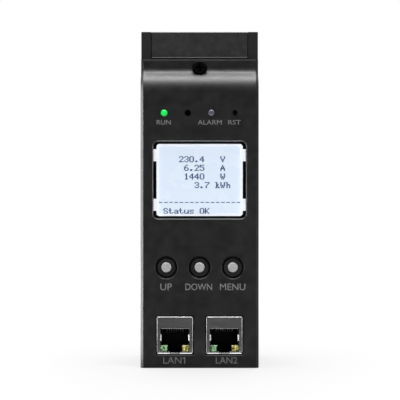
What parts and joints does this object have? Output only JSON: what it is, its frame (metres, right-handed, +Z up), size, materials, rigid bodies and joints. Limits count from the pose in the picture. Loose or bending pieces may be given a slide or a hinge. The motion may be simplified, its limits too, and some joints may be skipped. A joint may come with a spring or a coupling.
{
  "type": "rack power distribution unit",
  "caption": "Control section of a slim vertical rack power strip: metal channel with a raised bezel carrying a meter display, lamps, push keys and network ports.",
  "frame": {"origin": "centre of the overall box, at the foot of the unit", "axes": "+Z up the length of the strip, the display faces -Y, +X to the right seen from the front"},
  "size_m": [0.052, 0.0532, 0.1486],
  "materials": {
    "housing": "satin charcoal powder coat",
    "bezel": "fine matt moulded charcoal",
    "panel": "matt charcoal",
    "end_cap": "matt black",
    "black_screw": "black oxide",
    "steel": "zinc plated",
    "bushing": "matt black",
    "circuit_board": "green solder mask",
    "white_frame": "white",
    "display": "lit pale blue",
    "diffuser": "milky",
    "flex": "amber film",
    "green_lamp": "clear lit green",
    "pale_lamp": "clear unlit",
    "button": "satin grey",
    "plunger": "black",
    "black_part": "black moulded",
    "jack_shield": "nickel plated sheet",
    "jack_insert": "black moulded",
    "contact": "gold flash",
    "green_lens": "milky green",
    "yellow_lens": "milky yellow",
    "capacitor": "sleeved can",
    "fuse": "ceramic tube",
    "clip": "tinned",
    "copper": "bare copper",
    "insulator": "natural nylon",
    "transformer": "potted blue"
  },
  "bodies": {
    "unit": {"alarm_buzzer": "black_part", "alarm_led": "pale_lamp", "bezel_bracket": "steel", "bezel_screw": "black_screw", "blank_panel": "panel", "board_link_pins": "black_part", "board_link_socket": "black_part", "board_screws": "steel", "bottom_end_cap": "end_cap", "control_bezel": "bezel", "control_board": "circuit_board", "cord_bushing": "bushing", "current_transformer": "transformer", "display_diffuser": "diffuser", "display_flex": "flex", "display_glass": "display", "display_light_box": "white_frame", "down_switch": "black_part", "earth_busbar": "copper", "fuse_clips": "clip", "housing_profile": "housing", "lan1_contacts": "contact", "lan1_green_led": "green_lens", "lan1_insert": "jack_insert", "lan1_shield": "jack_shield", "lan1_yellow_led": "yellow_lens", "lan2_contacts": "contact", "lan2_green_led": "green_lens", "lan2_insert": "jack_insert", "lan2_shield": "jack_shield", "lan2_yellow_led": "yellow_lens", "led_spacers": "black_part", "line_busbar": "copper", "line_fuse": "fuse", "lower_busbar_carrier": "insulator", "menu_switch": "black_part", "mount_inserts": "steel", "neutral_busbar": "copper", "power_board": "circuit_board", "reset_switch": "black_part", "run_led": "green_lamp", "supply_capacitors": "capacitor", "supply_module": "black_part", "supply_taps": "copper", "terminal_block": "insulator", "terminal_screws": "steel", "top_end_cap": "end_cap", "up_switch": "black_part", "upper_busbar_carrier": "insulator"},
    "up_key": {"up_button": "button"},
    "down_key": {"down_button": "button"},
    "menu_key": {"menu_button": "button"},
    "reset_pin": {"reset_plunger": "plunger"}
  },
  "joints": [
    {"name": "up_press", "type": "slide", "parent": "unit", "child": "up_key", "axis": [0, 1, 0], "range_m": [0, 0.0003], "stiffness_N_per_m": 600, "springref_m": -0.001},
    {"name": "down_press", "type": "slide", "parent": "unit", "child": "down_key", "axis": [0, 1, 0], "range_m": [0, 0.0003], "stiffness_N_per_m": 600, "springref_m": -0.001},
    {"name": "menu_press", "type": "slide", "parent": "unit", "child": "menu_key", "axis": [0, 1, 0], "range_m": [0, 0.0003], "stiffness_N_per_m": 600, "springref_m": -0.001},
    {"name": "reset_press", "type": "slide", "parent": "unit", "child": "reset_pin", "axis": [0, 1, 0], "range_m": [0, 0.00025], "stiffness_N_per_m": 600, "springref_m": -0.001}
  ]
}
